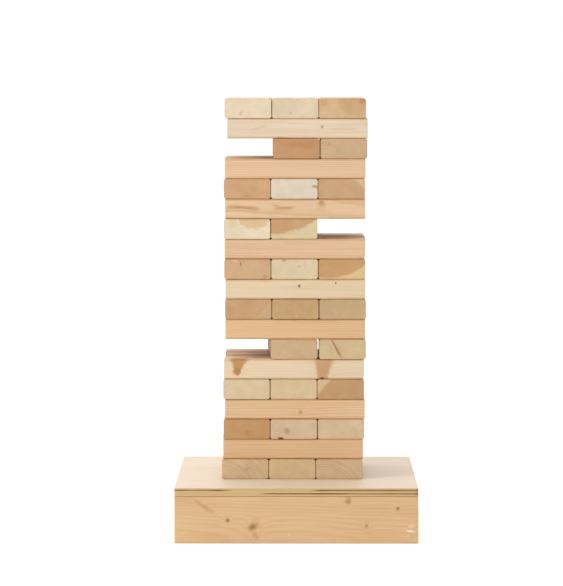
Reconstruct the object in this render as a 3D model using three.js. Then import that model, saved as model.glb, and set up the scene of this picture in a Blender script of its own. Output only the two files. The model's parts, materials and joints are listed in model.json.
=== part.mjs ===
// Giant tumbling tower: fifty-four planed timber blocks, stacked three to a layer with
// every layer crossing the one below it, on a low plinth of boards with a plywood top.
// Millimetres, +Z up. The origin is on the ground under the middle of the plinth,
// +X is to the right and the front of the tower faces -Y.
import * as THREE from 'three';

// A block is planed timber, three widths long so that three of them make a square layer.
const BLOCK = { thick: 38, wide: 89, long: 267 };
const BLOCK_EDGE = 4; // radius along the four long edges
const BOARD_EDGE = 1.5; // the boards and the plywood of the plinth are left sharper
const END_CHAMFER = 1; // sawn ends, broken with sandpaper
const ARC_STEPS = 2;

// The plinth is boards of the same timber on edge, under a plywood top.
const PLINTH = { wide: 457, deep: 564 };
const BOARD = { thick: BLOCK.thick, high: BLOCK.wide };
const TOP_THICK = 15;

const TOUCH_GAP = 0.3; // between pieces that rest on or are nailed to each other
const SIDE_GAP = 0.9; // between neighbours in a layer
const TOWER = { x: -4.5, y: 3 }; // the tower's middle, off the plinth's
const OUT_OF_LINE = 1.2; // how far a block's ends may stand out of its layer

const LAYER_PITCH = BLOCK.thick + TOUCH_GAP;
const SIDE_PITCH = BLOCK.wide + SIDE_GAP;
const PLINTH_TOP = BOARD.high + TOUCH_GAP + TOP_THICK;

// The layers from the plinth up: how far the layer sits to the right, in millimetres,
// and the timber of its blocks from left to right or from front to back.
// An empty slot's block has been pulled out and laid in the top layer.
const LAYERS = [
  [-3.5, 'tan tan tan'],
  [-3, 'peach cream tan'],
  [-0.5, 'honey tan tan'],
  [2, 'peach tan peach'],
  [-1, 'cream cream honey'],
  [0, 'cream peach honey'],
  [2.5, 'empty tan tan'],
  [1, 'peach cream cream'],
  [2.5, 'honey honey tan'],
  [2, 'cream peach tan'],
  [1, 'tan cream honey'],
  [2, 'peach honey cream'],
  [0, 'cream tan empty'],
  [1.5, 'peach cream peach'],
  [0.5, 'honey cream honey'],
  [1, 'peach tan cream'],
  [4.5, 'empty honey tan'],
  [7, 'cream peach tan'],
  [2, 'cream cream tan'],
];

// Blocks nudged by the pulls: how far each moved to the right, and its turn in degrees.
const ASKEW = {
  block_07_middle: { right: -6.5, turn: 1.9 },
  block_17_middle: { right: -1.5, turn: 0.6 },
};

const ALONG_Y = ['left', 'middle', 'right'];
const ALONG_X = ['front', 'middle', 'back'];

const timber = (colour) =>
  new THREE.MeshStandardMaterial({ color: colour, roughness: 0.75, metalness: 0 });

const TIMBER = {
  cream: timber(0xe2cfb0),
  peach: timber(0xdfbb93),
  tan: timber(0xcfb189),
  honey: timber(0xcba073),
  plinth: timber(0xdcb585),
  plywood: timber(0xeddcc5),
};

function roundedRectangle(width, height, radius) {
  const x = width / 2;
  const y = height / 2;
  const corners = [[x, -y], [x, y], [-x, y], [-x, -y]];
  const outline = new THREE.Shape();
  corners.forEach(([cornerX, cornerY], turn) => {
    const start = (turn - 1) * Math.PI / 2;
    const centreX = cornerX - Math.sign(cornerX) * radius;
    const centreY = cornerY - Math.sign(cornerY) * radius;
    outline.absarc(centreX, centreY, radius, start, start + Math.PI / 2, false);
  });
  return outline;
}

// A length of timber along Y, with rounded long edges and chamfered ends.
function timberLength(width, height, length, edge) {
  const geometry = new THREE.ExtrudeGeometry(roundedRectangle(width, height, edge), {
    depth: length - 2 * END_CHAMFER,
    steps: 1,
    curveSegments: ARC_STEPS,
    bevelEnabled: true,
    bevelThickness: END_CHAMFER,
    bevelSize: END_CHAMFER,
    bevelOffset: -END_CHAMFER,
    bevelSegments: 1,
  });
  geometry.translate(0, 0, END_CHAMFER - length / 2);
  geometry.rotateX(Math.PI / 2);
  return geometry;
}

function piece(name, geometry, material, position, turn = 0) {
  const mesh = new THREE.Mesh(geometry, material);
  mesh.name = name;
  mesh.position.set(...position);
  mesh.rotation.z = turn;
  return mesh;
}

const blockGeometry = timberLength(BLOCK.wide, BLOCK.thick, BLOCK.long, BLOCK_EDGE);

// Odd layers run from front to back, with their ends towards the front; even ones run across.
function makeBlock(number, slot, shift, wood) {
  const runsAcross = number % 2 === 0;
  const slotName = (runsAcross ? ALONG_X : ALONG_Y)[slot];
  const name = `block_${String(number).padStart(2, '0')}_${slotName}`;
  const { right, turn } = ASKEW[name] ?? { right: 0, turn: 0 };
  const side = (slot - 1) * SIDE_PITCH;
  const end = OUT_OF_LINE * Math.sin(2.4 * (3 * number + slot));
  const position = [
    TOWER.x + shift + right + (runsAcross ? end : side),
    TOWER.y + (runsAcross ? side : end),
    PLINTH_TOP + TOUCH_GAP + (number - 1) * LAYER_PITCH + BLOCK.thick / 2,
  ];
  const heading = THREE.MathUtils.degToRad(turn + (runsAcross ? 90 : 0));
  return piece(name, blockGeometry, TIMBER[wood], position, heading);
}

function makeTower() {
  const tower = new THREE.Group();
  LAYERS.forEach(([shift, woods], layer) => {
    woods.split(' ').forEach((wood, slot) => {
      if (wood !== 'empty') tower.add(makeBlock(layer + 1, slot, shift, wood));
    });
  });
  return tower;
}

// The front and back boards run the full width, with the side boards and a centre rail
// nailed between them.
function makePlinth() {
  const plinth = new THREE.Group();
  const z = BOARD.high / 2;
  const endY = (PLINTH.deep - BOARD.thick) / 2;
  const sideX = (PLINTH.wide - BOARD.thick) / 2;
  const sideLength = PLINTH.deep - 2 * (BOARD.thick + TOUCH_GAP);
  const endBoard = timberLength(BOARD.thick, BOARD.high, PLINTH.wide, BOARD_EDGE);
  const sideBoard = timberLength(BOARD.thick, BOARD.high, sideLength, BOARD_EDGE);
  const top = timberLength(PLINTH.wide, TOP_THICK, PLINTH.deep, BOARD_EDGE);
  const quarterTurn = Math.PI / 2;
  plinth.add(
    piece('plinth_front', endBoard, TIMBER.plinth, [0, -endY, z], quarterTurn),
    piece('plinth_back', endBoard, TIMBER.plinth, [0, endY, z], quarterTurn),
    piece('plinth_left', sideBoard, TIMBER.plinth, [-sideX, 0, z]),
    piece('plinth_right', sideBoard, TIMBER.plinth, [sideX, 0, z]),
    piece('plinth_centre_rail', sideBoard, TIMBER.plinth, [0, 0, z]),
    piece('plinth_top', top, TIMBER.plywood, [0, 0, PLINTH_TOP - TOP_THICK / 2]),
  );
  return plinth;
}

const tumblingTower = new THREE.Group();
tumblingTower.add(makePlinth(), makeTower());

export default tumblingTower;
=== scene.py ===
"""Looks of a giant tumbling tower: planed pine blocks crossing each other on a boarded plinth.

Every length of timber is cut from a log of its own. Its mesh carries each point's place in
that log, so rings, heartwood and knots run through it from face to face.
Sizes are in metres and angles in radians, unless a name or a comment says otherwise.
"""

import json
import math
import random
from dataclasses import dataclass

import bpy
import numpy as np
from mathutils import Matrix, Vector, noise


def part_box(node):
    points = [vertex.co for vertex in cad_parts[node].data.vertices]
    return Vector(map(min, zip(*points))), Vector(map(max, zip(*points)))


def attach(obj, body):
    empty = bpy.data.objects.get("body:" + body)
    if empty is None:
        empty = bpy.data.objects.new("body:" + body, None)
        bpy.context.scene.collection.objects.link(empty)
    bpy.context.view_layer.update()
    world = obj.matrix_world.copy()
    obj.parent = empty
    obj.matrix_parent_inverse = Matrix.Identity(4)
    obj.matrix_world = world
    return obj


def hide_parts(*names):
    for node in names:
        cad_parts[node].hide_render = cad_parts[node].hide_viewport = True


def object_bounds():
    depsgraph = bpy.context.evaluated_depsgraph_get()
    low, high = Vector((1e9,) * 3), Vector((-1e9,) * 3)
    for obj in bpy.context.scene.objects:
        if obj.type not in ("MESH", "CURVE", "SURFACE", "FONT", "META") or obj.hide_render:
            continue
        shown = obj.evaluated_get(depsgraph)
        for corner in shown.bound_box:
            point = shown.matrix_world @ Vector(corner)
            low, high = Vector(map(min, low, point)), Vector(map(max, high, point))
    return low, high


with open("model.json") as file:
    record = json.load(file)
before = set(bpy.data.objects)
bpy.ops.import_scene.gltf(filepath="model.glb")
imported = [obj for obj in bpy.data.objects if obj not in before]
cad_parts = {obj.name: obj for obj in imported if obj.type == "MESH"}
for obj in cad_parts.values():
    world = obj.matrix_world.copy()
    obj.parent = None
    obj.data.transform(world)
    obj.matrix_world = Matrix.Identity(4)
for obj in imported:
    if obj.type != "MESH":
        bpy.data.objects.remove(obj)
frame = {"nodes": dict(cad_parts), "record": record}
cad_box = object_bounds()

MM = 0.001

# The camera stands in front of the plinth, a little right of its middle and above the tower.
CAMERA_DISTANCE = 6.75
CAMERA_RIGHT = 0.007
CAMERA_HEIGHT = 0.882
CAMERA_PITCH = math.radians(3.489)
CAMERA_YAW = math.radians(0.2955)
LENS = 222.7

# The light that the white surroundings shed: its mean, and the way it grows brighter.
SKY_MEAN = 0.655
SKY_LEAN = (-0.18, 0.12, 0.26)
BACKDROP_GLOW = 0.6

# The floor glows more to the camera than it sheds, so that it looks as white as the backdrop.
FLOOR_COLOUR = (0.6, 0.59, 0.58, 1)
FLOOR_SEEN = 0.62
FLOOR_GLOW = 0.36
FLOOR_REACH = 20

# A softbox in front of the object, high up on the left.
KEY_PLACE = (-2.5, -2.1, 2.3)
KEY_TARGET = (0, 0, 0.45)
KEY_SIZE = 0.9
KEY_POWER = 46

BLOCK_EDGE = 4 * MM
BOARD_EDGE = 1.5 * MM
END_EDGE = 1.0 * MM

# How finely a length of timber is divided: round its long edges, round its ends and along it.
CORNER_STEPS = 6
END_STEPS = 3
RING_SPACING = 9 * MM

NAIL_RADIUS = 3.0 * MM
NAIL_STEPS = 20
NAIL_PROUD = 0.25 * MM
NAIL_HEIGHT = 19 * MM  # of the left nail, with each one to its right lower by NAIL_DROP
NAIL_DROP = 2 * MM
MIDDLE_NAIL = -13 * MM

# The thickness of each ply of the plinth's top in mm, from above.
PLIES = (2.6, 3.0, 3.4, 2.8, 3.2)
PLY_SPACING = 8 * MM  # between the points round the sheet's edge

# How deep each material's bumps are.
PINE_RELIEF = 0.12 * MM
PLYWOOD_RELIEF = 0.08 * MM
NAIL_RELIEF = 0.06 * MM

# The letters of the knots that each material has room for.
BLOCK_KNOTS = "abcd"
BOARD_KNOTS = "abcdefghi"

# What the wood's colour is multiplied by, where each of these shows in full.
LATE_WOOD = (0.86, 0.70, 0.52, 1)
YEAR_BAND = (0.93, 0.84, 0.74, 1)
STREAK = (0.955, 0.90, 0.84, 1)
HALO = (0.93, 0.80, 0.64, 1)
KNOT_RIM = (0.7, 0.52, 0.36, 1)
# Long rounded edges: browned by handling, and darkened with painted shade of the joints between
# blocks.
HANDLING_AND_PAINTED_SHADE = (0.86, 0.69, 0.46, 1)
FLAME_FIGURE = (0.93, 0.84, 0.72, 1)


# ---------------------------------------------------------------- timber looks


@dataclass
class Knot:
    """A branch through the timber, or a stain, crack or chip of the same form. Its middle is
    right, up and inward from the middle of the face that shows, in mm. It runs for reach each
    way along lean, which is (right, up, in), or straight out of the pith if that is None, and
    its radius grows by flare for each mm along it. A soft one fades out, and a faint one shows
    the wood through."""

    right: float
    up: float
    radius: float
    lean: tuple = (0, 0.1, 1)
    flare: float = 0.04
    reach: float = 60
    colour: str = "#a07a50"
    soft: float = 0.3
    faint: float = 0.0
    inward: float = 0


@dataclass
class Look:
    """One length of timber. The pith is (right, up) of the middle of an end, in mm, for a
    block that shows its end, and (in, up) for one that shows its side. Heartwood reaches
    heart_radius out of it, with an edge that strays by ragged, and each year's growth is ring
    wide, all in mm. grain is how strongly the rings show."""

    sap: str = ""
    heart: str = "#cb9c6b"
    heart_radius: float = 0
    pith: tuple = ()
    ring: float = 0
    grain: float = 0.35
    ragged: float = 9
    knots: tuple = ()


def streak(right, up, length, thick, colour, slope=0.0, soft=0.8, faint=0.3):
    """A mark along the grain."""
    lean = (1, slope, 0.02)
    return Knot(right, up, thick / 2, lean, 0, length / 2, colour, soft, faint)


def dash(right, up, length, thick, colour):
    """A small dark mark, such as pith, or the painted shade in a chip at an end's edge."""
    return streak(right, up, length, thick, colour, soft=0.3, faint=0)


LOOKS = {
    "block_01_left": Look("#dfc8a4", pith=(-60, -64), ring=4, grain=1.8, knots=(
        Knot(3, -1, 3, colour="#a88c62", soft=1, faint=0.4),
    )),
    "block_01_middle": Look("#dcc298", pith=(4, 90), ring=4),
    "block_01_right": Look("#dfc7a7", pith=(-34, -66), ring=4, grain=1.8),
    "block_02_front": Look("#e2be94", pith=(40, 95), ring=4, grain=0.25),
    "block_03_left": Look("#c99d6d", pith=(-10, -75), knots=(
        Knot(1, -8, 5, colour="#b07f4e", soft=1, faint=0.5),
    )),
    "block_03_middle": Look("#dac2a2", pith=(30, 60), knots=(
        Knot(-13, -3, 6.5, (0.3, -0.6, 1), colour="#9a8263", soft=1, faint=0.3),
        # Painted shade in a chip at the lower edge of the end.
        dash(-25, -17.5, 11, 4.5, "#6b4e2b"),
        Knot(-32, 6, 10, colour="#ddbda2", soft=1, faint=0.3),
    )),
    "block_03_right": Look("#dcc49f", pith=(10, 80), grain=0.25),
    "block_04_front": Look("#e4c39c", pith=(50, -80), ring=3.5, grain=0.45, knots=(
        Knot(11, -6, 4.8, colour="#aa8354", soft=0.8, faint=0.25),
    )),
    "block_05_left": Look("#dec9a5", pith=(0, -80), grain=0.25),
    "block_05_middle": Look("#dcc49e", pith=(20, 90), grain=0.25),
    "block_05_right": Look("#dcc09a", "#c69e73", 97, (36, -62)),
    "block_06_front": Look("#e8d4b5", pith=(70, -60), ring=5, grain=0.12, knots=(
        Knot(-107, -13, 0.5, (0.05, 1, 0.1), 0.6, 60, "#c08a55", soft=0.5, faint=0.1),
        Knot(-108, -4, 8.5, (0.2, 0.2, 1), colour="#bd8650", soft=0.5, faint=0.1),
        Knot(54.5, -46, 0.5, (0.04, 1, 0.1), 0.345, 90, "#c9966a", soft=0.5, faint=0.1),
        Knot(54, -17.8, 3.2, (1, 0.3, 0), reach=4.5, colour="#664622", soft=0.8),
    )),
    "block_07_middle": Look("#cfb28b", pith=(20, -70), ring=4),
    "block_07_right": Look("#d4bb92", pith=(40, 60), grain=0.3, knots=(
        Knot(-12, 2, 2.7, (0.5, -0.9, 0.05), 0.01, 24, "#ac8058", soft=0.7, faint=0.1),
        Knot(-22, 2, 1.5, (0.4, -0.9, 0.05), 0.01, 16, "#c5a078", soft=1, faint=0.3),
    )),
    "block_08_front": Look("#e4c095", pith=(35, 100), ring=3, grain=0.5),
    "block_09_left": Look("#cfae84", "#cba37a", 78, (-30, 50), ring=3),
    "block_09_middle": Look("#c8a57a", pith=(-20, -60), grain=0.5, knots=(
        Knot(2, -12, 6, colour="#d3b288", soft=1, faint=0.3),
    )),
    "block_09_right": Look("#caad83", pith=(10, 70)),
    "block_10_front": Look("#e4cfae", pith=(60, -70), ring=5, grain=0.1, knots=(
        Knot(7.4, 6, 3.2, colour="#7d6b4a", soft=0.6),
        Knot(77, 12, 2.2, colour="#7d6b4a", soft=0.6),
    )),
    "block_11_left": Look("#d3ae86", pith=(20, -60), knots=(
        Knot(-13, 10, 1.1, (0.2, -1, 0.2), 0, 13, "#946c45", soft=0.5),
        Knot(34, -14, 2.5, (1, 0.3, 0), reach=5, colour="#c0835c", soft=0.9),
        Knot(-24, 16, 2, (1, 0, 0), reach=6, colour="#e2cba8", soft=0.8),
    )),
    "block_11_middle": Look("#dfcba9", pith=(-50, 70), grain=0.2, knots=(
        Knot(-20, 17, 2.5, (1, 0.2, 0), reach=5, colour="#b99a74", soft=0.8),
        Knot(8, 5, 2, (1, 0.2, 0), reach=6, colour="#bfa27c", soft=1, faint=0.4),
    )),
    "block_11_right": Look("#e0c391", "#cb9f6d", 127, (-32, 111)),
    "block_12_front": Look("#e2c19e", pith=(40, -95), ring=3.5, grain=0.4),
    "block_13_left": Look("#ead9bd", "#dfc096", 34, (14, 34), ragged=34, knots=(
        Knot(-27, 12, 9, (1, 0.1, 0), reach=12, colour="#dfc79f", soft=1, faint=0.3),
    )),
    "block_13_middle": Look("#e2cfa8", "#cda57a", 86, (-30, 70), ragged=30, knots=(
        Knot(-20, 4, 12, colour="#c49a6d", soft=1, faint=0.45),
    )),
    "block_14_front": Look("#e4c49f", pith=(90, 24), ring=5, grain=0.55, knots=(
        Knot(50, 11, 7, (0.1, 0.2, 1), colour="#b88d62", soft=0.9),
        streak(-99, 2.5, 66, 7, "#bd8f63", slope=-0.05, faint=0.1),
        streak(-20, 2, 44, 6, "#c59a6e", slope=0.06, faint=0.1),
        streak(-36, 6, 20, 5, "#cfa67b", slope=-0.2, faint=0.2),
    )),
    "block_15_left": Look("#d2a77e", pith=(-20, -80), knots=(
        dash(0, -13.5, 13, 1.6, "#b5875a"),
    )),
    "block_15_middle": Look("#e1d4bd", pith=(30, 90), grain=0.15, knots=(
        streak(38, 5, 12, 5, "#a98a63", soft=0.9, faint=0.1),
        streak(42, 3, 6, 4, "#a98a63", soft=0.9, faint=0.1),
    )),
    "block_15_right": Look("#d9bd92", "#cba57d", 84, (-22, -52)),
    "block_16_front": Look("#e4c3a0", pith=(45, 100), ring=3.5, grain=0.45),
    "block_17_middle": Look("#c6986c", pith=(0, 80), knots=(
        Knot(10, 8, 6, (1, 0, 0), reach=40, colour="#bd8b55", soft=1, faint=0.3),
    )),
    "block_17_right": Look("#ceb08c", pith=(-40, -46), ring=4.5, grain=0.6, knots=(
        Knot(-28, 9, 4, (0.4, 0.4, 1), colour="#b8946a", soft=0.9, faint=0.2),
    )),
    "block_18_front": Look("#e6d2b8", pith=(80, -50), ring=5, grain=0.2, knots=(
        Knot(47, 3, 3.4, colour="#9c8868", soft=1, faint=0.15),
        streak(85, -1, 70, 5, "#d8b48c", faint=0.5),
        streak(-75, 1, 40, 4, "#d6bd9c", slope=0.2),
    )),
    "block_19_left": Look("#e8d5b7", pith=(10, -70), grain=0.2, knots=(
        Knot(-13, -9, 3, (0.6, 1, 0), reach=8, colour="#c9aa7e", soft=1, faint=0.3),
    )),
    "block_19_middle": Look("#e2ceb1", pith=(-20, 80), grain=0.2, knots=(
        dash(-9, -9, 6, 1.6, "#b8a07c"),
    )),
    "block_19_right": Look("#d7b48c", "#d3ab7f", 30, (22, 20), ring=4, knots=(
        Knot(38, 14, 6, (1, 0.3, 0), reach=10, colour="#ba8855", soft=1, faint=0.2),
        Knot(-36, 12, 8, (1, 0, 0), reach=10, colour="#c99c6c", soft=1, faint=0.3),
    )),
    "plinth_front": Look("#e1bd8f", pith=(118, -40), ring=2.4, grain=0.28, knots=(
        Knot(-129, -1, 5, (0.2, 0.2, 1), colour="#9c7548", soft=0.9),
        Knot(-82, -13, 8, (1, 0.55, 0.9), colour="#9d7545", soft=1, faint=0.1),
        Knot(-174, 26, 4, (0.85, -0.56, 0.05), 0.06, 30, "#c99a6b", soft=1, faint=0.2),
        Knot(97, 36, 7.5, (0.1, -0.6, 1), colour="#ae8353", soft=1, faint=0.2),
        Knot(190, 21, 3.8, colour="#93713f", soft=0.9, faint=0.1),
        Knot(132, -11, 4.4, colour="#ab8453", soft=1, faint=0.2),
        Knot(-76, -30, 6, (0.5, -0.6, 0.1), reach=10, colour="#c3946a", soft=1, faint=0.4),
        Knot(216, -11, 4, (1, 0.1, 0), reach=8, colour="#f3dfc4", soft=1, faint=0.4),
        Knot(214, -21, 2.2, (1, -0.1, 0), reach=9, colour="#fdf3e6", soft=0.8),
    )),
}

# The wood of each slot where no look above says otherwise.
SLOT_WOODS = {
    "cream_pine": ("#e2cfb0", "#d6ac7c"),
    "peach_pine": ("#dfbb93", "#cf9f70"),
    "tan_pine": ("#cfb189", "#c39868"),
    "honey_pine": ("#cba073", "#bd8a5a"),
    "plinth_pine": ("#dcb585", "#c99a68"),
}


def look_of(name, slot, stance):
    """The look listed for this piece, or one drawn from its name. What a listed look leaves
    open is drawn too, and so are knots along a block that shows its end."""
    chance = random.Random(name)
    sap, heart = SLOT_WOODS[slot]
    listed = LOOKS.get(name)
    pith = (chance.uniform(-90, 90), chance.choice([-1, 1]) * chance.uniform(30, 90))
    ring = chance.uniform(3, 5.5)
    if listed:
        listed.pith = listed.pith or pith
        listed.ring = listed.ring or ring
        if not stance.runs_across:
            count = chance.choice([0, 1, 1])
            listed.knots += tuple(drawn_knot(chance, stance) for _ in range(count))
        return listed
    knots = tuple(drawn_knot(chance, stance) for _ in range(chance.choice([0, 1, 1, 2])))
    heart_radius = chance.choice([0, 0, 60, 80])
    return Look(sap, heart, heart_radius, pith, ring, chance.uniform(0.3, 0.6), knots=knots)


def drawn_knot(chance, stance):
    """A branch somewhere along the timber."""
    width, length, height = (side / MM for side in stance.size)
    along = chance.uniform(-0.42, 0.42) * length
    across = chance.uniform(-0.4, 0.4) * width
    knot = Knot(across, chance.uniform(-0.4, 0.4) * height, chance.uniform(1.5, 5), lean=None)
    if stance.runs_across:
        knot.right, knot.inward = along, width / 2 + across
    else:
        knot.inward = length / 2 + along
    return knot


# ---------------------------------------------------------------- shader helpers


def linear(colour):
    """An sRGB colour such as "#e2cfb0" as the linear numbers that shaders take."""
    parts = [int(colour[i : i + 2], 16) / 255 for i in (1, 3, 5)]
    return [c / 12.92 if c <= 0.04045 else ((c + 0.055) / 1.055) ** 2.4 for c in parts]


def rgba(colour):
    return (*linear(colour), 1.0)


class Shader:
    """Adds nodes to a tree. An input is a number, a colour, a vector or another node's output."""

    def __init__(self, tree):
        self.tree = tree

    def node(self, kind, inputs=None, **settings):
        made = self.tree.nodes.new("ShaderNode" + kind)
        for key, value in settings.items():
            setattr(made, key, value)
        for key, value in (inputs or {}).items():
            socket = made.inputs[key]
            if isinstance(value, bpy.types.NodeSocket):
                self.tree.links.new(value, socket)
            else:
                socket.default_value = value
        return made

    def group(self, tree, inputs):
        made = self.node("Group", node_tree=tree)
        for key, value in inputs.items():
            self.tree.links.new(value, made.inputs[key])
        return made

    def maths(self, operation, *values):
        return self.node("Math", dict(enumerate(values)), operation=operation).outputs[0]

    def vector(self, operation, *values):
        made = self.node("VectorMath", dict(enumerate(values)), operation=operation)
        name = "Value" if operation in ("LENGTH", "DOT_PRODUCT") else "Vector"
        return made.outputs[name]

    def scaled(self, vector, amount):
        made = self.node("VectorMath", {0: vector, "Scale": amount}, operation="SCALE")
        return made.outputs["Vector"]

    def step(self, value, low, high):
        """0 below low, 1 above high and smooth between them. low may be the higher one."""
        inputs = {"Value": value, "From Min": low, "From Max": high}
        made = self.node("MapRange", inputs, interpolation_type="SMOOTHSTEP")
        return made.outputs[0]

    def mix(self, factor, first, second, blend="MIX"):
        made = self.node("Mix", data_type="RGBA", blend_type=blend)
        for socket, value in ((0, factor), (6, first), (7, second)):
            if isinstance(value, bpy.types.NodeSocket):
                self.tree.links.new(value, made.inputs[socket])
            else:
                made.inputs[socket].default_value = value
        return made.outputs[2]

    def noise(self, vector, stretch, detail=2.0, roughness=0.5):
        """Noise from 0 to 1, with stretch cycles a metre along each axis."""
        place = self.vector("MULTIPLY", vector, stretch)
        inputs = {"Vector": place, "Scale": 1.0, "Detail": detail, "Roughness": roughness}
        return self.node("TexNoise", inputs).outputs[0]

    def noise_along(self, value, cycles, detail=1.0):
        place = self.maths("MULTIPLY", value, cycles)
        inputs = {"W": place, "Scale": 1.0, "Detail": detail}
        return self.node("TexNoise", inputs, noise_dimensions="1D").outputs[0]

    def mesh_value(self, name, output):
        return self.node("Attribute", attribute_name=name).outputs[output]

    def piece_value(self, name, output):
        made = self.node("Attribute", attribute_name=name, attribute_type="OBJECT")
        return made.outputs[output]


def new_material(name):
    material = bpy.data.materials.new(name)
    material.use_nodes = True
    material.node_tree.nodes.clear()
    return material, Shader(material.node_tree)


def finish_material(shader, colour, roughness, height, relief, specular=0.35, metallic=0.0):
    """Adds the surface. relief is how deep the bumps are where height goes from 0 to 1."""
    bump = shader.node("Bump", {"Height": height, "Strength": 1.0, "Distance": relief})
    inputs = {
        "Base Color": colour,
        "Roughness": roughness,
        "Specular IOR Level": specular,
        "Metallic": metallic,
        "Normal": bump.outputs[0],
    }
    surface = shader.node("BsdfPrincipled", inputs)
    shader.node("OutputMaterial", {"Surface": surface.outputs[0]})


# ---------------------------------------------------------------- pine


def knot_group():
    """How far a point lies within a branch: a cone round a line through Centre.
    Size is its radius, flare and reach, and Edge is how soft and how faint it is."""
    tree = bpy.data.node_groups.new("knot", "ShaderNodeTree")
    for name in ("Place", "Centre", "Direction", "Size", "Edge"):
        tree.interface.new_socket(name, in_out="INPUT", socket_type="NodeSocketVector")
    for name in ("Inside", "Rim", "Bend", "Halo"):
        tree.interface.new_socket(name, in_out="OUTPUT", socket_type="NodeSocketFloat")
    shader = Shader(tree)
    given = tree.nodes.new("NodeGroupInput").outputs
    result = tree.nodes.new("NodeGroupOutput").inputs
    size = shader.node("SeparateXYZ", {0: given["Size"]}).outputs
    edge = shader.node("SeparateXYZ", {0: given["Edge"]}).outputs
    uneven = shader.noise(given["Place"], (210, 60, 210), detail=2.0)
    place = shader.vector("SUBTRACT", given["Place"], given["Centre"])
    along = shader.vector("DOT_PRODUCT", place, given["Direction"])
    off = shader.vector("SUBTRACT", place, shader.scaled(given["Direction"], along))
    radius = shader.maths("MULTIPLY_ADD", size["Y"], along, size["X"])
    radius = shader.maths("MAXIMUM", radius, 0.05 * MM)
    share = shader.maths("DIVIDE", shader.vector("LENGTH", off), radius)
    share = shader.maths("MULTIPLY_ADD", uneven, 0.8, shader.maths("SUBTRACT", share, 0.4))
    reached = shader.maths("DIVIDE", shader.maths("ABSOLUTE", along), size["Z"])
    within = shader.step(reached, 1.15, shader.maths("MULTIPLY_ADD", edge["X"], -0.7, 0.9))
    full = shader.maths("MULTIPLY_ADD", edge["X"], -0.9, 0.95)
    inside = shader.maths("MULTIPLY", shader.step(share, 1.15, full), within)
    inside = shader.maths("MULTIPLY", inside, shader.maths("SUBTRACT", 1.0, edge["Y"]))
    rim = shader.maths("MULTIPLY", shader.step(share, 0.4, 0.8), inside)
    fade = shader.maths("MULTIPLY_ADD", share, share, 1.0)
    halo = shader.maths("DIVIDE", within, fade)
    links = tree.links
    links.new(inside, result["Inside"])
    links.new(rim, result["Rim"])
    links.new(shader.maths("MULTIPLY", halo, radius), result["Bend"])
    links.new(halo, result["Halo"])
    return tree


def all_knots(shader, group, place, letters):
    """The piece's knots laid over each other: how far they bend the rings, how clear of them a
    point is, the colour they paint there, their dark rims and the halos round them."""
    bend, clear, rim, halo = 0.0, 1.0, 0.0, 0.0
    paint = (0, 0, 0, 1)
    for letter in letters:
        inputs = {"Place": place}
        for name in ("Centre", "Direction", "Size", "Edge"):
            inputs[name] = shader.piece_value(f"knot_{letter}_{name.lower()}", "Vector")
        colour = shader.piece_value(f"knot_{letter}_colour", "Color")
        made = shader.group(group, inputs)
        inside = made.outputs["Inside"]
        paint = shader.mix(inside, paint, colour)
        clear = shader.maths("MULTIPLY", clear, shader.maths("SUBTRACT", 1.0, inside))
        bend = shader.maths("ADD", bend, made.outputs["Bend"])
        rim = shader.maths("MAXIMUM", rim, made.outputs["Rim"])
        halo = shader.maths("MAXIMUM", halo, made.outputs["Halo"])
    return bend, clear, paint, rim, halo


def from_pith(shader, place, bend):
    """How far out of the pith a point grew, with the trunk's wander and the knots' swirl."""
    radius = shader.vector("LENGTH", shader.vector("MULTIPLY", place, (1, 0, 1)))
    wanders = (((14, 1.4, 14), 6 * MM), ((60, 5, 60), 1.6 * MM), ((160, 9, 160), 0.7 * MM))
    for stretch, depth in wanders:
        wander = shader.maths("SUBTRACT", shader.noise(place, stretch), 0.5)
        radius = shader.maths("MULTIPLY_ADD", wander, depth, radius)
    return shader.maths("ADD", radius, bend)


def late_wood(shader, radius):
    """The thin dark line at the end of each year's growth: each ring darkens, then stops."""
    uneven = shader.noise_along(radius, 45)
    rings = shader.maths("DIVIDE", radius, shader.piece_value("ring", "Fac"))
    phase = shader.maths("FRACT", shader.maths("MULTIPLY_ADD", uneven, 2.0, rings))
    return shader.maths("MULTIPLY", shader.step(phase, 0.3, 0.85), shader.step(phase, 1.0, 0.88))


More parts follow.
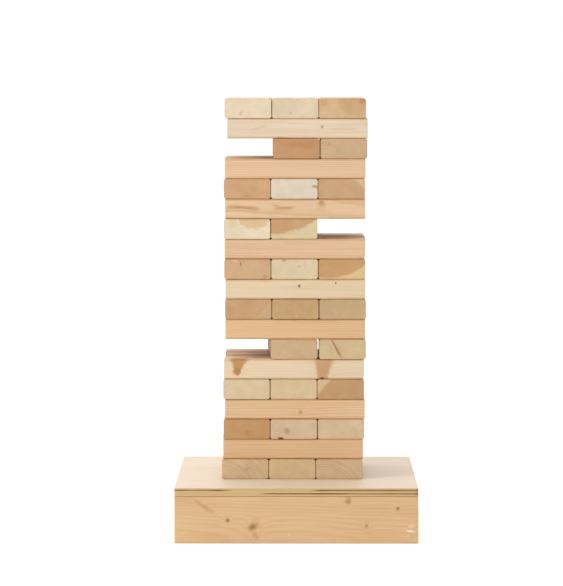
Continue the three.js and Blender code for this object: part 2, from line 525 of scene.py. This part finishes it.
def pine_material(name, letters, group):
    """Planed softwood. Its colours, rings, heartwood and knots are the piece's own properties."""
    material, shader = new_material(name)
    place = shader.mesh_value("log", "Vector")
    sawn = shader.mesh_value("sawn", "Fac")
    planed = shader.maths("SUBTRACT", 1.0, sawn)
    handling_and_shade_mask = shader.mesh_value("handling_and_shade_mask", "Fac")
    grain = shader.piece_value("grain", "Fac")
    bend, clear, paint, rim, halo = all_knots(shader, group, place, letters)
    radius = from_pith(shader, place, bend)
    late = late_wood(shader, radius)
    band = shader.noise_along(radius, 90, detail=2.0)
    fibre = shader.noise(place, (1000, 12, 1000), detail=3.0, roughness=0.6)
    streaks = shader.noise(place, (300, 7, 300), detail=3.0, roughness=0.55)
    cloud = shader.noise(place, (16, 4, 16), detail=2.0)
    smudge = shader.noise(place, (55, 30, 55), detail=3.0, roughness=0.6)
    speckle = shader.noise(place, (700, 700, 700), detail=2.0)

    # Sapwood and heartwood, which has a ragged edge.
    edge = shader.maths("SUBTRACT", shader.piece_value("heart_radius", "Fac"), radius)
    ragged = shader.piece_value("ragged", "Fac")
    edge = shader.maths("MULTIPLY_ADD", shader.maths("SUBTRACT", smudge, 0.5), ragged, edge)
    heart = shader.step(edge, -3 * MM, 3 * MM)
    sap_colour = shader.piece_value("sap", "Color")
    heart_colour = shader.piece_value("heart", "Color")
    colour = shader.mix(heart, sap_colour, heart_colour)

    def tint(amount, shade):
        """Multiplies the colour by a shade, where amount is how much of it to take."""
        return shader.mix(amount, colour, shade, "MULTIPLY")

    # Growth rings, which the saw blurs on the ends, and streaks along the planed faces.
    ring_share = shader.maths("MULTIPLY", grain, shader.maths("MULTIPLY_ADD", sawn, -0.55, 1.0))
    colour = tint(shader.maths("MULTIPLY", late, ring_share), LATE_WOOD)
    colour = tint(shader.maths("MULTIPLY", shader.step(band, 0.35, 0.75), ring_share), YEAR_BAND)
    colour = tint(shader.maths("MULTIPLY", shader.step(streaks, 0.46, 0.72), planed), STREAK)
    colour = tint(planed, shader.maths("MULTIPLY_ADD", fibre, 0.14, 0.93))
    colour = tint(1.0, shader.maths("MULTIPLY_ADD", cloud, 0.16, 0.92))
    colour = tint(sawn, shader.maths("MULTIPLY_ADD", smudge, 0.28, 0.84))
    colour = tint(sawn, shader.maths("MULTIPLY_ADD", speckle, 0.16, 0.91))

    # Knots, and long edges browned by handling and darkened with painted shade of the joints
    # between blocks.
    colour = tint(shader.maths("MULTIPLY", halo, 0.30), HALO)
    colour = shader.mix(1.0, tint(1.0, clear), paint, "ADD")
    colour = tint(shader.maths("MULTIPLY", rim, 0.35), KNOT_RIM)
    handling_and_shade_share = shader.maths("MULTIPLY", handling_and_shade_mask, shader.maths("MULTIPLY_ADD", smudge, 0.6, 0.4))
    colour = tint(handling_and_shade_share, HANDLING_AND_PAINTED_SHADE)

    # Relief: raised late wood and fibres on the planed faces, saw scratches on the ends.
    scratch = shader.noise(place, (60, 60, 1500), detail=2.0)
    smooth = shader.maths("MULTIPLY_ADD", fibre, 0.5, shader.maths("MULTIPLY", late, 0.5))
    height = shader.node("Mix", {0: sawn, 2: smooth, 3: scratch}).outputs[0]
    height = shader.maths("MULTIPLY_ADD", clear, -0.4, height)
    roughness = shader.maths("MULTIPLY_ADD", fibre, 0.16, 0.44)
    roughness = shader.maths("MULTIPLY_ADD", sawn, 0.22, roughness)
    finish_material(shader, colour, roughness, height, PINE_RELIEF)
    return material


# ---------------------------------------------------------------- timber meshes


def add_object(name, data):
    made = bpy.data.objects.new(name, data)
    bpy.context.scene.collection.objects.link(made)
    return made


def keep_flats_flat(piece):
    """Leaves the shading of a piece's large faces alone where they meet its round edges."""
    piece.modifiers.new("face normals", "WEIGHTED_NORMAL").weight = 100


def rounded_outline(width, height, radius, steps):
    """A rectangle with round corners, anticlockwise, as (x, z, roundness). Roundness is 1 at
    the middle of a corner and 0 on the flats."""
    points = []
    for corner, (sx, sz) in enumerate(((1, -1), (1, 1), (-1, 1), (-1, -1))):
        centre_x = sx * (width / 2 - radius)
        centre_z = sz * (height / 2 - radius)
        for i in range(steps + 1):
            angle = (corner - 1 + i / steps) * math.pi / 2
            roundness = math.sin(math.pi * i / steps)
            x = centre_x + radius * math.cos(angle)
            z = centre_z + radius * math.sin(angle)
            points.append((x, z, roundness))
    return points


def end_rings(length, edge, steps):
    """Rings round an end's edge, out to the end: each one's y and how much smaller it is."""
    angles = [i / steps * math.pi / 2 for i in range(steps + 1)]
    start = length / 2 - edge
    return [(start + edge * math.sin(angle), edge * (1 - math.cos(angle))) for angle in angles]


def smooth_mesh(name, points, faces):
    mesh = bpy.data.meshes.new(name)
    mesh.from_pydata(points, [], faces)
    mesh.polygons.foreach_set("use_smooth", [True] * len(faces))
    return mesh


def wear(point, roundness, seed):
    """How far an edge point is set in by wear: small ripples, and here and there a nick."""
    ripple = noise.noise(Vector(point) * 60 + Vector((seed, 0, 0)))
    nick = noise.noise(Vector(point) * 22 + Vector((0, seed, 0)))
    depth = 0.12 + 0.22 * ripple + 2.4 * max(0.0, nick - 0.42)
    return max(0.0, depth) * MM * roundness


@dataclass
class Stance:
    """Where a CAD piece lies: its middle, its turn about Z and its size along its own axes."""

    middle: Vector
    heading: float
    size: tuple

    @property
    def runs_across(self):
        return abs(self.heading) > 1.0


def stance_of(node):
    mesh = frame["nodes"][node].data
    points = np.empty(len(mesh.vertices) * 3)
    mesh.vertices.foreach_get("co", points)
    points = np.unique(points.reshape(-1, 3).round(6), axis=0)
    _, axes = np.linalg.eigh(np.cov(points[:, :2].T))
    long_x, long_y = axes[:, -1]
    # The long axis points to the back, or to the left for a piece that runs across.
    if long_x > 0.5 or (abs(long_x) <= 0.5 and long_y < 0):
        long_x, long_y = -long_x, -long_y
    heading = math.atan2(-long_x, long_y)
    along = points[:, :2] @ (long_x, long_y)
    across = points[:, :2] @ (long_y, -long_x)
    size = tuple(float(np.ptp(v)) for v in (across, along, points[:, 2]))
    low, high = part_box(node)
    return Stance((low + high) / 2, heading, size)


def timber_mesh(name, size, edge, seed):
    """A length of timber along Y round the origin: round long edges and softened ends.
    sawn is 1 on its ends. The other mask is 1 along its long edges, which are browned by
    handling and darkened with painted shade of the joints."""
    width, length, height = size
    ends = end_rings(length, END_EDGE, END_STEPS)
    count = max(2, round((length - 2 * END_EDGE) / RING_SPACING))
    inner = np.linspace(-length / 2 + END_EDGE, length / 2 - END_EDGE, count + 1)[1:-1]
    front = [(-y, inset) for y, inset in reversed(ends)]
    rings = [*front, *((y, 0.0) for y in inner), *ends]
    # A smaller ring in the plane of each end keeps its flat shading clear of the round edge.
    cap_inset = 3 * MM
    rings = [(rings[0][0], cap_inset), *rings, (rings[-1][0], cap_inset)]
    # How much handling brown and painted joint shade the edges get near the ends.
    end_handling_and_shade = 0.3
    points, handling_and_shade_mask = [], []
    for number, (y, inset) in enumerate(rings):
        capped = number in (0, len(rings) - 1)
        near_end = not capped and inset > 0.1 * END_EDGE
        radius = max(edge - inset, 0.2 * MM)
        outline = rounded_outline(width - 2 * inset, height - 2 * inset, radius, CORNER_STEPS)
        for x, z, roundness in outline:
            lost = 0 if capped else wear((x, y, z), roundness, seed)
            points.append((x - math.copysign(lost, x), y, z - math.copysign(lost, z)))
            handling_and_shade_mask.append(0.0 if capped else end_handling_and_shade if near_end else roundness)
    per_ring = len(outline)
    faces, sawn = [], []
    for ring in range(len(rings) - 1):
        at_end = ring <= len(ends) - 1 or ring >= len(rings) - 1 - len(ends)
        for i in range(per_ring):
            j = (i + 1) % per_ring
            a, b = ring * per_ring, (ring + 1) * per_ring
            faces.append((a + i, b + i, b + j, a + j))
            sawn.append(1.0 if at_end else 0.0)
    last = (len(rings) - 1) * per_ring
    faces.append(tuple(range(per_ring)))
    faces.append(tuple(last + i for i in reversed(range(per_ring))))
    sawn += [1.0, 1.0]
    mesh = smooth_mesh(name, points, faces)
    mesh.attributes.new("sawn", "FLOAT", "FACE").data.foreach_set("value", sawn)
    mesh.attributes.new("handling_and_shade_mask", "FLOAT", "POINT").data.foreach_set("value", handling_and_shade_mask)
    return mesh


def write_log(mesh, pith, tilt, seed):
    points = np.empty(len(mesh.vertices) * 3)
    mesh.vertices.foreach_get("co", points)
    points = points.reshape(-1, 3)
    places = log_places(points, pith, tilt, seed)
    data = mesh.attributes.new("log", "FLOAT_VECTOR", "POINT").data
    data.foreach_set("vector", places.ravel())


def log_places(points, pith, tilt, seed):
    """Each point's place in its log: x and z from the pith, and y up the trunk."""
    points = np.asarray(points, float)
    places = points.copy()
    places[:, 0] += tilt[0] * points[:, 1] - pith[0] * MM
    places[:, 2] += tilt[1] * points[:, 1] - pith[1] * MM
    places[:, 1] += seed
    return places


def shown_axes(stance):
    """The front face's middle and its right and in directions, in the piece's own axes."""
    width, length, _ = stance.size
    if stance.runs_across:
        return Vector((-width / 2, 0, 0)), Vector((0, -1, 0)), Vector((1, 0, 0))
    return Vector((0, -length / 2, 0)), Vector((1, 0, 0)), Vector((0, 1, 0))


def write_knots(piece, look, letters, stance, tilt, seed):
    """The piece's knots as its own properties. A letter left over gets a knot far above it."""
    unused = Knot(0, 9000, 0, reach=1)
    middle, right, inward = shown_axes(stance)
    up = Vector((0, 0, 1))
    for number, letter in enumerate(letters):
        knot = look.knots[number] if number < len(look.knots) else unused
        place = middle + (right * knot.right + up * knot.up + inward * knot.inward) * MM
        centre = log_places([place], look.pith, tilt, seed)[0]
        if knot.lean:
            lean_right, lean_up, lean_in = knot.lean
            direction = (right * lean_right + up * lean_up + inward * lean_in).normalized()
        else:
            direction = Vector((centre[0], 0, centre[2])).normalized()
        piece[f"knot_{letter}_centre"] = [float(v) for v in centre]
        piece[f"knot_{letter}_direction"] = list(direction)
        piece[f"knot_{letter}_size"] = [knot.radius * MM, knot.flare, knot.reach * MM]
        piece[f"knot_{letter}_edge"] = [knot.soft, knot.faint, 0.0]
        piece[f"knot_{letter}_colour"] = linear(knot.colour)


def add_timber(name, node, slot, material, letters, edge, thinner=0.0):
    """A detailed length of timber in place of a CAD node, thinner by that much on each side."""
    stance = stance_of(node)
    look = look_of(node, slot, stance)
    chance = random.Random("log of " + node)
    seed = chance.uniform(0, 40)
    tilt = (chance.uniform(-0.012, 0.012), chance.uniform(-0.012, 0.012))
    width, length, height = stance.size
    mesh = timber_mesh(name, (width - 2 * thinner, length, height), edge, seed)
    write_log(mesh, look.pith, tilt, seed)
    mesh.materials.append(material)
    piece = add_object(name, mesh)
    piece.matrix_world = Matrix.Translation(stance.middle) @ Matrix.Rotation(stance.heading, 4, "Z")
    piece["sap"] = linear(look.sap)
    piece["heart"] = linear(look.heart)
    piece["heart_radius"] = look.heart_radius * MM
    piece["ragged"] = look.ragged * MM
    piece["ring"] = look.ring * MM
    piece["grain"] = look.grain
    write_knots(piece, look, letters, stance, tilt, seed)
    keep_flats_flat(piece)
    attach(piece, body_of_node[node])
    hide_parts(node)


# ---------------------------------------------------------------- the plinth's plywood


def plywood_mesh(name, size):
    """A sheet round the origin. Every second ply is end grain at the front, and sits back."""
    width, depth, height = size
    levels = [0.0]
    for ply in PLIES:
        levels.append(levels[-1] + ply / sum(PLIES))
    bevel = 0.5 * MM
    half_step = 0.15 * MM  # half the height of the slope between two plies
    rings = [(height / 2, bevel, 0.0), (height / 2 - bevel, 0.0, 0.0)]
    for number in range(len(PLIES)):
        crossed = number % 2
        top, bottom = (height / 2 - levels[number + i] * height for i in (0, 1))
        if number:
            rings.append((top - half_step, 0.0, crossed))
        if number < len(PLIES) - 1:
            rings.append((bottom + half_step, 0.0, crossed))
    rings += [(bevel - height / 2, 0.0, 0.0), (-height / 2, bevel, 0.0)]
    outline = sheet_outline(width, depth, PLY_SPACING)
    points = []
    for z, inset, crossed in rings:
        for x, y, out_x, out_y in outline:
            rough = noise.noise(Vector((x * 45, y * 45, crossed * 9 + 3)))
            back = inset + crossed * MM * max(0.0, 0.25 + 0.5 * rough)
            points.append((x - out_x * back, y - out_y * back, z))
    per_ring = len(outline)
    faces = []
    for ring in range(len(rings) - 1):
        for i in range(per_ring):
            j = (i + 1) % per_ring
            a, b = ring * per_ring, (ring + 1) * per_ring
            faces.append((b + i, b + j, a + j, a + i))
    last = (len(rings) - 1) * per_ring
    faces.append(tuple(range(per_ring)))
    faces.append(tuple(last + i for i in reversed(range(per_ring))))
    return smooth_mesh(name, points, faces)


def sheet_outline(width, depth, spacing):
    """A rectangle, anticlockwise, in steps of about spacing, as (x, y, outwards x, outwards y)."""
    corners = [(-1, -1), (1, -1), (1, 1), (-1, 1)]
    points = []
    for number, (sx, sy) in enumerate(corners):
        next_x, next_y = corners[(number + 1) % 4]
        side = width if sx != next_x else depth
        steps = round(side / spacing)
        for i in range(steps):
            share = i / steps
            x = (sx + (next_x - sx) * share) * width / 2
            y = (sy + (next_y - sy) * share) * depth / 2
            out_x = sx if i == 0 or sx == next_x else 0
            out_y = sy if i == 0 or sy == next_y else 0
            points.append((x, y, out_x, out_y))
    return points


def plywood_material(height):
    """A pale sanded face, and edges where plies of long grain and end grain take turns."""
    material, shader = new_material("plywood")
    place = shader.node("TexCoord").outputs["Object"]
    level = shader.node("SeparateXYZ", {0: place}).outputs["Z"]
    depth = shader.maths("SUBTRACT", height / 2, level)
    side = shader.mesh_value("side", "Vector")
    on_edge = shader.vector("LENGTH", side)
    faces_side = shader.maths("ABSOLUTE", shader.node("SeparateXYZ", {0: side}).outputs["X"])

    # The face veneer, peeled from the log, has broad flame figure along X.
    wander = shader.noise(place, (2.2, 9, 9), detail=2.0)
    line = shader.maths("FRACT", shader.maths("MULTIPLY", wander, 14.0))
    late = shader.maths("MULTIPLY", shader.step(line, 0.4, 0.9), shader.step(line, 1.0, 0.93))
    fibre = shader.noise(place, (8, 700, 700), detail=3.0)
    cloud = shader.noise(place, (6, 10, 10), detail=2.0)
    colour = shader.mix(cloud, rgba("#e9d9c2"), rgba("#e3cfb6"))
    colour = shader.mix(shader.maths("MULTIPLY", late, 0.30), colour, FLAME_FIGURE, "MULTIPLY")
    light = shader.maths("MULTIPLY_ADD", fibre, 0.10, 0.95)
    colour = shader.mix(1.0, colour, light, "MULTIPLY")

    # The edges. Plies seen end-on are darker: the crossed ones at the front and back, and
    # the others at the sides. Each crossed ply's dark line is lost along a part of it: the
    # upper one's just left of the middle, and the lower one's from there to the left end.
    across = shader.node("SeparateXYZ", {0: place}).outputs["X"]
    gap_start = shader.step(across, -0.15, -0.11)
    gap_end = shader.step(across, 0.02, 0.05)
    upper_gap = shader.maths("SUBTRACT", gap_start, gap_end)
    lower_gap = shader.step(across, -0.045, -0.075)
    blur = 0.2 * MM
    crossed, dark = 0.0, 0.0
    for number, gap in ((1, upper_gap), (3, lower_gap)):
        top = sum(PLIES[:number]) * MM
        bottom = top + PLIES[number] * MM
        below_top = shader.step(depth, top - blur, top + blur)
        above_bottom = shader.step(depth, bottom + blur, bottom - blur)
        band = shader.maths("MULTIPLY", below_top, above_bottom)
        crossed = shader.maths("ADD", crossed, band)
        shown = shader.maths("MULTIPLY_ADD", gap, -0.85, 1.0)
        dark = shader.maths("MULTIPLY_ADD", band, shown, dark)
    at_sides = shader.maths("SUBTRACT", 1.0, crossed)
    end_grain = shader.node("Mix", {0: faces_side, 2: dark, 3: at_sides}).outputs[0]
    patches = shader.noise(place, (16, 16, 60), detail=3.0)
    inputs = {"Value": patches, "From Min": 0.3, "From Max": 0.6, "To Min": 0.55}
    patchy = shader.node("MapRange", inputs).outputs[0]
    strength = shader.maths("MULTIPLY", end_grain, patchy)
    edge_colour = shader.mix(cloud, rgba("#dcbb87"), rgba("#d1ad76"))
    edge_colour = shader.mix(strength, edge_colour, rgba("#74501f"))
    colour = shader.mix(on_edge, colour, edge_colour)
    bumps = shader.maths("MULTIPLY_ADD", fibre, 0.5, shader.maths("MULTIPLY", late, 0.3))
    roughness = shader.maths("MULTIPLY_ADD", fibre, 0.15, 0.42)
    finish_material(shader, colour, roughness, bumps, PLYWOOD_RELIEF, specular=0.4)
    return material


def write_sides(mesh):
    """side is a face's outward direction on the sheet's edges, and nothing on its faces."""
    sides = []
    for face in mesh.polygons:
        flat = abs(face.normal.z) > 0.9
        sides += [0.0, 0.0, 0.0] if flat else [face.normal.x, face.normal.y, 0.0]
    mesh.attributes.new("side", "FLOAT_VECTOR", "FACE").data.foreach_set("vector", sides)


def add_plywood(name, node):
    stance = stance_of(node)
    mesh = plywood_mesh(name, stance.size)
    write_sides(mesh)
    mesh.materials.append(plywood_material(stance.size[2]))
    piece = add_object(name, mesh)
    piece.location = stance.middle
    keep_flats_flat(piece)
    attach(piece, "plinth")
    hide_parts(node)


# ---------------------------------------------------------------- nails


def nail_mesh():
    """A nail's head facing -Y, with its highest point at the origin. Each ring is its share of
    the radius, and how far back it is in mm."""
    rings = [(0.3, 0.0), (0.75, 0.04), (0.94, 0.12), (1.0, 0.35), (1.0, 1.2)]
    points = [(0.0, 0.0, 0.0)]
    for share, back in rings:
        for i in range(NAIL_STEPS):
            angle = 2 * math.pi * i / NAIL_STEPS
            x, z = math.cos(angle), math.sin(angle)
            points.append((x * share * NAIL_RADIUS, back * MM, z * share * NAIL_RADIUS))
    faces = []
    for i in range(NAIL_STEPS):
        j = (i + 1) % NAIL_STEPS
        faces.append((0, 1 + i, 1 + j))
        for ring in range(len(rings) - 1):
            a, b = 1 + ring * NAIL_STEPS, 1 + (ring + 1) * NAIL_STEPS
            faces.append((a + i, b + i, b + j, a + j))
    return smooth_mesh("nail", points, faces)


def nail_material():
    """Bright galvanised steel with the waffle pattern of a hammer's face."""
    material, shader = new_material("galvanised steel")
    place = shader.node("TexCoord").outputs["Object"]
    spangle = shader.noise(place, (900, 900, 900), detail=2.0)
    colour = shader.mix(spangle, rgba("#d8bd84"), rgba("#f0dcaa"))
    waffle = 1.1 * MM
    waves = shader.node("SeparateXYZ", {0: shader.scaled(place, 2 * math.pi / waffle)}).outputs
    across = shader.maths("SINE", waves["X"])
    upright = shader.maths("SINE", waves["Z"])
    height = shader.maths("MULTIPLY_ADD", across, upright, spangle)
    roughness = shader.maths("MULTIPLY_ADD", spangle, 0.2, 0.35)
    finish_material(shader, colour, roughness, height, NAIL_RELIEF, metallic=0.5)
    return material


def add_nails():
    """Three nails through the front board and three through the back one, into the boards
    between them. A back nail is a front one turned half round."""
    mesh = nail_mesh()
    mesh.materials.append(nail_material())
    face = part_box("plinth_front")[0].y
    side_low, side_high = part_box("plinth_left")
    side = (side_low.x + side_high.x) / 2
    places = {"left": side, "middle": MIDDLE_NAIL, "right": -side}
    for end, turn in (("front", 0), ("back", math.pi)):
        for number, (name, right) in enumerate(places.items()):
            nail = add_object(f"nail_{end}_{name}", mesh)
            height = NAIL_HEIGHT - number * NAIL_DROP
            nail.location = (right, face if end == "front" else -face, height)
            nail.rotation_euler = (0, 0, turn)
            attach(nail, "plinth")


# ---------------------------------------------------------------- camera, light and floor


def add_camera():
    data = bpy.data.cameras.new("camera")
    data.lens = LENS
    data.sensor_width = 36
    camera = add_object("camera", data)
    front = cad_box[0].y
    camera.location = (CAMERA_RIGHT, front - CAMERA_DISTANCE, CAMERA_HEIGHT)
    camera.rotation_euler = (math.pi / 2 - CAMERA_PITCH, 0, CAMERA_YAW)
    bpy.context.scene.camera = camera


def add_key_light():
    data = bpy.data.lights.new("key", "AREA")
    data.shape = "SQUARE"
    data.size = KEY_SIZE
    data.energy = KEY_POWER
    light = add_object("key", data)
    light.location = KEY_PLACE
    direction = Vector(KEY_TARGET) - Vector(KEY_PLACE)
    light.rotation_euler = direction.to_track_quat("-Z", "Y").to_euler()


def seen_and_shed(shader, seen, shed):
    """A strength of light that differs between what the camera sees and what is shed."""
    camera_ray = shader.node("LightPath").outputs["Is Camera Ray"]
    return shader.node("Mix", {0: camera_ray, 2: shed, 3: seen}).outputs[0]


def add_floor():
    mesh = bpy.data.meshes.new("floor")
    signs = ((-1, -1), (1, -1), (1, 1), (-1, 1))
    corners = [(x * FLOOR_REACH, y * FLOOR_REACH, 0) for x, y in signs]
    mesh.from_pydata(corners, [], [(0, 1, 2, 3)])
    material, shader = new_material("floor")
    inputs = {
        "Base Color": FLOOR_COLOUR,
        "Roughness": 0.9,
        "Specular IOR Level": 0.1,
        "Emission Color": (1, 1, 1, 1),
        "Emission Strength": seen_and_shed(shader, FLOOR_SEEN, FLOOR_GLOW),
    }
    surface = shader.node("BsdfPrincipled", inputs)
    shader.node("OutputMaterial", {"Surface": surface.outputs[0]})
    mesh.materials.append(material)
    floor = add_object("floor", mesh)


def add_world():
    """White to the camera. The light it sheds is brighter from overhead, the back and the left."""
    world = bpy.data.worlds.new("studio")
    world.use_nodes = True
    world.node_tree.nodes.clear()
    shader = Shader(world.node_tree)
    direction = shader.node("TexCoord").outputs["Generated"]
    back = shader.node("SeparateXYZ", {0: direction}).outputs["Y"]
    shed = shader.maths("ADD", shader.vector("DOT_PRODUCT", direction, SKY_LEAN), SKY_MEAN)
    shed = shader.maths("MULTIPLY_ADD", shader.step(back, 0.3, 0.9), BACKDROP_GLOW, shed)
    inputs = {"Color": (1, 1, 1, 1), "Strength": seen_and_shed(shader, 1.0, shed)}
    background = shader.node("Background", inputs)
    shader.node("OutputWorld", {"Surface": background.outputs[0]})
    bpy.context.scene.world = world


def set_stage():
    bpy.context.scene.view_settings.view_transform = "Standard"
    add_camera()
    add_world()
    add_floor()
    add_key_light()


# ---------------------------------------------------------------- the object


record = frame["record"]
bodies = record["behaviour"]["bodies"]
body_of_node = {node: body for body, nodes in bodies.items() for node in nodes}
slot_of_node = {part["node"]: part["material_slot"] for part in record["subparts"]}

set_stage()

knots = knot_group()
block_pine = pine_material("planed pine", BLOCK_KNOTS, knots)
board_pine = pine_material("knotty pine", BOARD_KNOTS, knots)

for node, slot in slot_of_node.items():
    if node.startswith("block_"):
        add_timber("timber_" + node, node, slot, block_pine, BLOCK_KNOTS, BLOCK_EDGE)
    elif slot == "plinth_pine":
        add_timber("timber_" + node, node, slot, board_pine, BOARD_KNOTS, BOARD_EDGE, NAIL_PROUD)
add_plywood("plywood_plinth_top", "plinth_top")
add_nails()
